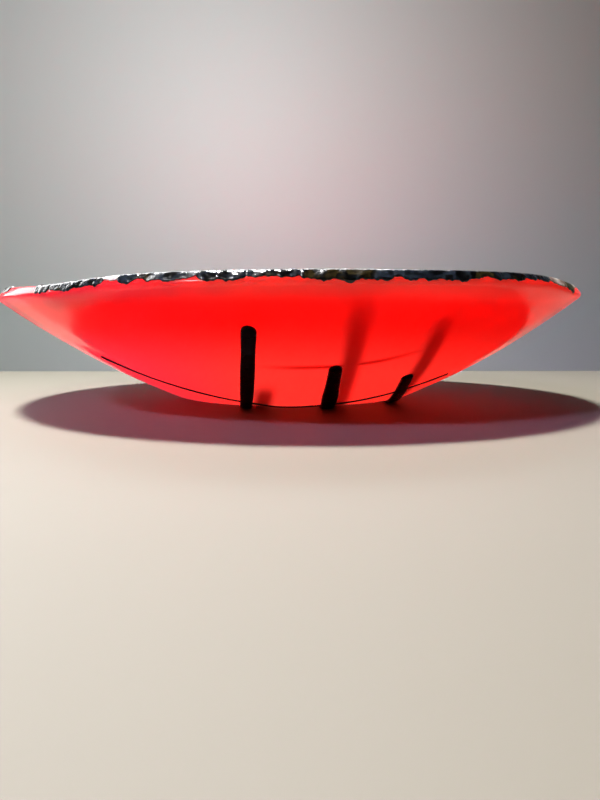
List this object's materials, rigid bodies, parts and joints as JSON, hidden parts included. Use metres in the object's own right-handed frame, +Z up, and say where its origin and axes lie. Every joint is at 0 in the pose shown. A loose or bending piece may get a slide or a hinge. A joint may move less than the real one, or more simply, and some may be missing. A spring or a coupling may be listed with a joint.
{
  "type": "art glass bowl",
  "caption": "Shallow round slumped bowl of translucent red fused glass, with black bars and thin stringers on both faces and a rim of black lustre glass pieces",
  "frame": {"origin": "on the table, under the middle of the bowl", "axes": "+Z up out of the bowl's mouth; -Y is the front, where the longest black bar on the outside climbs the side left of the middle; +X is to the right as seen from the front"},
  "size_m": [0.3005, 0.2999, 0.0597],
  "materials": {
    "red_glass": "gloss, translucent",
    "black_glass": "gloss, opaque",
    "lustre_glass": "uneven lustre, opaque",
    "cream_glass": "frosted, opaque",
    "olive_glass": "gloss, opaque"
  },
  "bodies": {
    "root": {"red_glass_sheet": "red_glass", "outer_bar_left": "black_glass", "outer_bar_middle": "black_glass", "outer_bar_right": "black_glass", "outer_stringer": "black_glass", "inner_bar_left": "black_glass", "inner_bar_middle": "black_glass", "inner_bar_right": "black_glass", "inner_stringer": "black_glass", "rim_piece_01": "lustre_glass", "rim_piece_02": "lustre_glass", "rim_piece_03": "lustre_glass", "rim_piece_04": "cream_glass", "rim_piece_05": "lustre_glass", "rim_piece_06": "lustre_glass", "rim_piece_07": "lustre_glass", "rim_piece_08": "lustre_glass", "rim_piece_09": "lustre_glass", "rim_piece_10": "lustre_glass", "rim_piece_11": "lustre_glass", "rim_piece_12": "lustre_glass", "rim_piece_13": "cream_glass", "rim_piece_14": "olive_glass", "rim_piece_15": "cream_glass", "rim_piece_16": "lustre_glass", "rim_piece_17": "lustre_glass", "rim_piece_18": "lustre_glass", "rim_piece_19": "lustre_glass", "rim_piece_20": "lustre_glass", "rim_piece_21": "lustre_glass", "rim_piece_22": "lustre_glass", "rim_piece_23": "lustre_glass", "rim_piece_24": "lustre_glass", "rim_piece_25": "lustre_glass", "rim_piece_26": "lustre_glass", "rim_piece_27": "lustre_glass", "rim_piece_28": "lustre_glass", "rim_piece_29": "lustre_glass", "rim_piece_30": "lustre_glass"}
  },
  "joints": []
}
